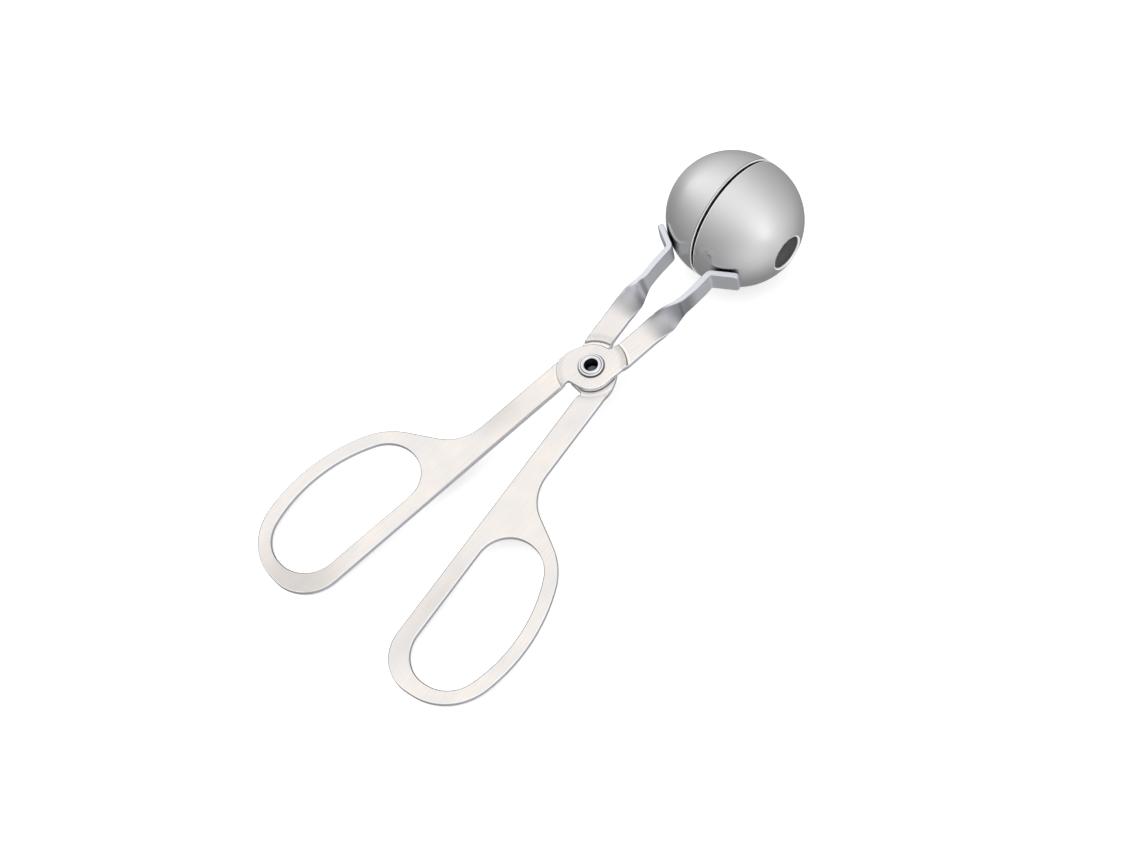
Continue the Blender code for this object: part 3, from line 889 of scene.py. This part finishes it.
@dataclass
class Cup:
    """One spun cup: a shell of a ball, open at the seam, with a drain hole through its pole."""

    side: Side
    tongs: PivotFrame
    distance: float = 70.2 * MM
    radius: float = 21.6 * MM
    setback: float = 1.3 * MM
    wall: float = 0.9 * MM
    rim_gap: float = 1.0 * MM
    hole_radius: float = 6.06 * MM
    segments: int = 160
    rings: int = 120
    rim_round: float = 0.42 * MM
    hole_round: float = 0.3 * MM
    round_steps: int = 4
    # Sharp edges nearer the seam than this share of the radius are the rim's, the others the hole's.
    rim_share: float = 0.9
    sharp_angle: float = math.radians(50.0)
    soft_angle: float = math.radians(40.0)
    # The cosine between a face's normal and the heading to the ball's middle: an inner face's is above
    # the first, a shell face's below its negative, and of the others a rim face's below the second.
    shell_facing: float = 0.985
    rim_facing: float = 0.3
    finish: SpunShell = SpunShell()
    # A white, partly matt line on the rim and the hole's lip: painted highlight.
    rim_highlight: HighlightRim = HighlightRim()
    # Dark steel on the inward rounds of the rim and the drain hole: painted shade.
    inward_round_shade: PaintedToneSteel = PaintedToneSteel("#38383c", 0.4)
    # The front cup's inside is light and mostly matt, painted light; the rear cup's is dark, painted shade.
    inside_light_and_shade: dict[Side, PaintedToneSteel] = field(
        default_factory=lambda: {
            Side.FRONT: PaintedToneSteel("#e6e2e4", 0.5, shine=0.15),
            Side.REAR: PaintedToneSteel("#505053", 0.45),
        }
    )

    def build(self) -> Object:
        """Make the cup and hang it on its body.

        Returns:
            The finished cup.
        """
        piece = self.shell()
        self.round_edges(piece)
        kinds = self.sort_faces(piece)
        materials = [
            self.finish.material(f"spun_{self.side.value}_shell"),
            self.inside_light_and_shade[self.side].material(f"drawn_{self.side.value}_inside"),
            self.rim_highlight.material(f"white_highlight_{self.side.value}_rim"),
            self.inward_round_shade.material(f"shade_painted_{self.side.value}_edge"),
        ]
        dress(piece, materials, kinds)
        weigh_normals(piece, kinds)
        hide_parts(f"{self.side.value}_cup")
        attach(piece, self.side.body)
        return piece

    def shell(self) -> Object:
        """Cut a ball at the seam and at the drain hole, and give it its wall.

        Returns:
            The shell, in its place.
        """
        deselect_all()
        middle = (0.0, 0.0, -self.setback)
        bpy.ops.mesh.primitive_uv_sphere_add(
            segments=self.segments, ring_count=self.rings, radius=self.radius, location=middle
        )
        piece = bpy.context.object
        piece.name = f"{self.side.value}_spun_cup"
        bpy.ops.object.transform_apply(location=True, rotation=True, scale=True)
        bpy.ops.object.mode_set(mode="EDIT")
        up = (0.0, 0.0, 1.0)
        seam = (0.0, 0.0, -self.rim_gap / 2)
        bpy.ops.mesh.select_all(action="SELECT")
        bpy.ops.mesh.bisect(plane_co=seam, plane_no=up, clear_outer=True)
        hole = (0.0, 0.0, -self.setback - math.sqrt(self.radius ** 2 - self.hole_radius ** 2))
        bpy.ops.mesh.select_all(action="SELECT")
        bpy.ops.mesh.bisect(plane_co=hole, plane_no=up, clear_inner=True)
        bpy.ops.object.mode_set(mode="OBJECT")
        wall = piece.modifiers.new("wall", "SOLIDIFY")
        wall.thickness = self.wall
        wall.offset = -1.0
        wall.use_even_offset = True
        bpy.ops.object.modifier_apply(modifier=wall.name)
        turn = Matrix.Rotation(-math.pi / 2 * self.side.sign, 4, "X")
        piece.data.transform(self.tongs.matrix @ Matrix.Translation((self.distance, 0.0, 0.0)) @ turn)
        return piece

    def round_edges(self, piece: Object) -> None:
        """Round the rim and break the edges of the drain hole.

        Args:
            piece: the shell.
        """
        middle = self.tongs.matrix @ Vector((self.distance, 0.0, 0.0))
        rim_reach = self.setback + self.radius * self.rim_share
        for at_rim, width in ((True, self.rim_round), (False, self.hole_round)):
            select_only(piece)
            bpy.ops.object.mode_set(mode="EDIT")
            bpy.ops.mesh.select_mode(type="EDGE")
            bpy.ops.mesh.select_all(action="DESELECT")
            bpy.ops.mesh.edges_select_sharp(sharpness=self.sharp_angle)
            bpy.ops.object.mode_set(mode="OBJECT")
            for edge in piece.data.edges:
                ends = [abs(piece.data.vertices[i].co.y - middle.y) for i in edge.vertices]
                edge.select = edge.select and ((max(ends) < rim_reach) == at_rim)
            bpy.ops.object.mode_set(mode="EDIT")
            bpy.ops.mesh.bevel(offset=width, segments=self.round_steps, affect="EDGES")
            bpy.ops.object.mode_set(mode="OBJECT")
        bpy.ops.object.shade_smooth_by_angle(angle=self.soft_angle)

    def sort_faces(self, piece: Object) -> list[CupFace]:
        """Tell the cup's shell, inner side, rims and inward rounds apart, by how they face the ball's middle.

        Args:
            piece: the cup.

        Returns:
            What each face is.
        """
        middle = self.tongs.matrix @ Vector((self.distance, -self.setback * self.side.sign, 0.0))
        kinds = []
        for face in piece.data.polygons:
            facing = face.normal.dot((middle - face.center).normalized())
            if facing > self.shell_facing:
                kinds.append(CupFace.INSIDE)
            elif facing > -self.shell_facing:
                kinds.append(CupFace.RIM if facing < self.rim_facing else CupFace.PIERCED)
            else:
                kinds.append(CupFace.SHELL)
        return kinds


@dataclass
class Rivet:
    """The semi-tubular rivet that the arms turn on: rolled lip on the front, low head on the rear."""

    tongs: PivotFrame
    shank_radius: float = 3.0 * MM
    # A cap of the shank is found this close to its height.
    cap_slack: float = 0.01 * MM
    lip_base: float = 2.45 * MM
    lip_radius: float = 4.0 * MM
    lip_height: float = 0.85 * MM
    brim_height: float = 0.35 * MM
    brim_round: float = 0.18 * MM
    groove_radius: float = 3.4 * MM
    groove_depth: float = 0.15 * MM
    bore_radius: float = 2.2 * MM
    bore_end: float = -1.85 * MM
    drill_point: float = 1.32 * MM
    tip_radius: float = 0.044 * MM
    head_radius: float = 4.5 * MM
    head_edge: float = 0.3 * MM
    head_height: float = 1.2 * MM
    # The head's middle looks down by more than this, and no face of the bore does.
    head_facing: float = -0.5
    segments: int = 96
    round_steps: int = 12
    soft_angle: float = math.radians(40.0)
    finish: RolledSteel = RolledSteel()
    # Darker steel in the bore: painted shade.
    bore_shade: PaintedToneSteel = PaintedToneSteel("#606066", 0.3)

    def build(self) -> Object:
        """Make the rivet and hang it on the rear half.

        Returns:
            The finished rivet.
        """
        deselect_all()
        bpy.ops.mesh.primitive_cylinder_add(
            vertices=self.segments, radius=self.shank_radius, depth=2 * self.lip_base, end_fill_type="NGON"
        )
        piece = bpy.context.object
        piece.name = "rolled_rivet"
        self.draw_out(piece, 1, self.lip_profile())
        self.draw_out(piece, -1, self.head_profile())
        select_only(piece)
        bpy.ops.object.shade_smooth_by_angle(angle=self.soft_angle)
        materials = [
            self.finish.material("rolled_rivet_steel"),
            self.bore_shade.material("dark_painted_rivet_bore"),
        ]
        dress(piece, materials, [int(self.in_bore(face)) for face in piece.data.polygons])
        piece.data.transform(self.tongs.matrix)
        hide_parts("pivot_rivet")
        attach(piece, Side.REAR.body)
        return piece

    def in_bore(self, face: MeshPolygon) -> bool:
        """Say whether a face lies in the bore, and not on the lip or in the middle of the head.

        Args:
            face: a face of the rivet, in the tongs' frame.

        Returns:
            True for a face of the bore.
        """
        within = face.center.z < self.lip_base and face.center.xy.length < self.bore_radius
        return within and face.normal.z > self.head_facing

    def lip_profile(self) -> list[tuple[float, float]]:
        """The radii and heights over the rolled lip and down the bore.

        Returns:
            Points from the shank's top to near the drill point's tip.
        """
        roll = (self.groove_radius - self.bore_radius) / 2
        middle = self.bore_radius + roll
        brim = (self.lip_radius - self.groove_radius) / 2
        brim_top = self.lip_base + self.brim_height
        crest = self.lip_height - self.brim_height
        turns = [math.pi * i / self.round_steps for i in range(self.round_steps + 1)]
        outer = [
            (self.groove_radius + brim + brim * math.cos(turn), brim_top + self.brim_round * math.sin(turn))
            for turn in turns
        ]
        inner = [(middle + roll * math.cos(turn), brim_top + crest * math.sin(turn)) for turn in turns]
        groove = (self.groove_radius, brim_top - self.groove_depth)
        lip = [(self.lip_radius, self.lip_base), *outer, groove, *inner[1:]]
        tip = (self.tip_radius, self.bore_end - self.drill_point)
        return [*lip, (self.bore_radius, self.bore_end), tip]

    def head_profile(self) -> list[tuple[float, float]]:
        """The radii and depths round the domed head.

        Returns:
            Points from the shank's bottom to near the head's middle.
        """
        dome = self.head_height - self.head_edge
        turns = [math.pi / 2 * i / self.round_steps for i in range(self.round_steps)]
        edge = self.lip_base + self.head_edge
        arc = [(self.head_radius * math.cos(turn), edge + dome * math.sin(turn)) for turn in turns]
        return [(self.head_radius, self.lip_base), *arc]

    def draw_out(self, piece: Object, end: int, profile: list[tuple[float, float]]) -> None:
        """Draw one end of the shank out through a turned profile, by extruding and scaling its cap.

        Args:
            piece: the rivet.
            end: 1 for the top cap or -1 for the bottom one.
            profile: the radii and distances from the pivot's middle plane.
        """
        edit_faces(
            piece,
            lambda face: len(face.vertices) == self.segments
            and abs(face.center.z * end - self.lip_base) < self.cap_slack,
        )
        radius, height = self.shank_radius, self.lip_base
        for next_radius, next_height in profile:
            rise = (0.0, 0.0, (next_height - height) * end)
            bpy.ops.mesh.extrude_region_move(TRANSFORM_OT_translate={"value": rise})
            share = next_radius / radius
            bpy.ops.transform.resize(value=(share, share, 1.0))
            radius, height = next_radius, next_height
        bpy.ops.object.mode_set(mode="OBJECT")


@dataclass(frozen=True)
class Glow:
    """A soft bright part of the studio's dome."""

    heading: tuple[float, float, float]
    strength: float
    focus: float
    stretch: tuple[float, float, float] = (1.0, 1.0, 1.0)

    def add(self, tree: NodeTree, ray: NodeSocket, base: NodeSocket) -> NodeSocket:
        """Add the glow to the light that comes along a ray.

        Args:
            tree: the dome's node tree.
            ray: the direction that is looked along.
            base: the light without the glow.

        Returns:
            The light with the glow.
        """
        painted_tone = add_node(
            tree, "ShaderNodeVectorMath", {0: ray, 1: self.stretch}, operation="MULTIPLY"
        ).outputs["Vector"]
        painted_tone = add_node(tree, "ShaderNodeVectorMath", {0: painted_tone}, operation="NORMALIZE").outputs["Vector"]
        heading = Vector(self.heading).normalized()
        nearness = add_node(
            tree, "ShaderNodeVectorMath", {0: painted_tone, 1: heading}, operation="DOT_PRODUCT"
        ).outputs["Value"]
        share = add_node(tree, "ShaderNodeMapRange", {"Value": nearness, "From Min": -1.0}).outputs["Result"]
        focused = add_node(tree, "ShaderNodeMath", {0: share, 1: self.focus}, operation="POWER").outputs[0]
        return add_node(
            tree, "ShaderNodeMath", {0: focused, 1: self.strength, 2: base}, operation="MULTIPLY_ADD"
        ).outputs["Value"]


@dataclass(frozen=True)
class Studio:
    """The plain pale floor and the soft dome of light."""

    floor_reach: float = 9.0
    floor_colour: str = "#f1f1f1"
    floor_roughness: float = 0.9
    table_light: float = 0.4
    dome_low: float = 0.29
    glows: tuple[Glow, ...] = (
        Glow((0.0, 0.0, 1.0), strength=0.42, focus=1.0, stretch=(1.0, 0.12, 1.0)),
        Glow((-0.08, 0.0, 1.0), strength=0.42, focus=5.5, stretch=(1.0, 0.12, 1.0)),
        Glow((0.1, -1.0, -0.1), strength=0.42, focus=6.0),
        Glow((-0.45, -0.8, -0.4), strength=0.34, focus=9.0),
        Glow((0.8, -0.6, -0.1), strength=0.1, focus=8.0),
        Glow((0.35, 0.9, 0.1), strength=0.3, focus=8.0),
    )
    softbox_width: float = 2.0
    softbox_length: float = 2.4
    softbox_place: tuple[float, float, float] = (-0.4, 0.5, 1.5)
    softbox_aim: tuple[float, float, float] = (0.02, 0.0, 0.0)
    softbox_light: float = 0.6

    def build(self) -> None:
        """Lay the floor and set the light."""
        self.lay_floor()
        self.light_dome()
        self.hang_softbox()

    def lay_floor(self) -> None:
        """Lay a plain floor of matt white paper, which glows a little as on a light table."""
        deselect_all()
        bpy.ops.mesh.primitive_plane_add(size=self.floor_reach)
        floor = bpy.context.object
        floor.name = "studio_floor"
        paper, shader = start_material("matt_white_paper")
        look = {
            "Base Color": linear(self.floor_colour),
            "Roughness": self.floor_roughness,
            "Specular IOR Level": 0.0,
            "Emission Color": linear("#ffffff"),
            "Emission Strength": self.table_light,
        }
        set_inputs(shader, look)
        floor.data.materials.append(paper)
        floor.visible_glossy = False

    def light_dome(self) -> None:
        """Light the scene all round, with long soft glows overhead and fills from both cups' sides."""
        world = bpy.data.worlds.new("studio_dome")
        world.use_nodes = True
        tree = world.node_tree
        ray = add_node(tree, "ShaderNodeTexCoord").outputs["Generated"]
        light = add_node(tree, "ShaderNodeValue").outputs["Value"]
        light.default_value = self.dome_low
        for glow in self.glows:
            light = glow.add(tree, ray, light)
        set_inputs(tree.nodes["Background"], {"Color": linear("#ffffff"), "Strength": light})
        bpy.context.scene.world = world
        bpy.context.scene.view_settings.view_transform = "Standard"

    def hang_softbox(self) -> None:
        """Hang one wide soft light overhead, which the steel doesn't mirror."""
        bpy.ops.object.light_add(type="AREA", location=self.softbox_place)
        softbox = bpy.context.object
        softbox.name = "overhead_softbox"
        softbox.data.shape = "RECTANGLE"
        softbox.data.size = self.softbox_width
        softbox.data.size_y = self.softbox_length
        softbox.data.energy = self.softbox_light * math.pi * self.softbox_width * self.softbox_length
        heading = Vector(self.softbox_aim) - softbox.location
        softbox.rotation_euler = heading.to_track_quat("-Z", "Y").to_euler()
        softbox.visible_glossy = False


@dataclass(frozen=True)
class PhotoCamera:
    """The photograph's camera: its frame in pixels, and its place and axes in the tongs' frame."""

    width_px: int = 1140
    focal_px: float = 2201.0
    sensor: float = 36.0
    place: tuple[float, float, float] = (-193.5 * MM, -293.9 * MM, 603.2 * MM)
    right: tuple[float, float, float] = (0.6637, -0.7317, -0.1553)
    down: tuple[float, float, float] = (-0.7043, -0.5415, -0.4591)

    def build(self, tongs: PivotFrame) -> None:
        """Set the camera up.

        Args:
            tongs: the tongs' frame.
        """
        data = bpy.data.cameras.new("photo_camera")
        data.sensor_width = self.sensor
        data.lens = self.focal_px / self.width_px * self.sensor
        camera = bpy.data.objects.new("photo_camera", data)
        bpy.context.scene.collection.objects.link(camera)
        right = Vector(self.right).normalized()
        up = -Vector(self.down)
        back = right.cross(up).normalized()
        turn = Matrix((right, back.cross(right), back)).transposed()
        camera.matrix_world = tongs.matrix @ Matrix.Translation(self.place) @ turn.to_4x4()
        bpy.context.scene.camera = camera


def main() -> None:
    """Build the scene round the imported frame."""
    logging.basicConfig(level=logging.INFO, format="%(name)s: %(message)s")
    tongs = PivotFrame.from_joint(frame["joints"][0])
    PhotoCamera().build(tongs)
    Studio().build()
    pieces = [Arm(side, tongs) for side in Side] + [Cup(side, tongs) for side in Side] + [Rivet(tongs)]
    for piece in pieces:
        made = piece.build()
        LOG.info("%s: %d faces", made.name, len(made.data.polygons))


if __name__ == "__main__":
    main()
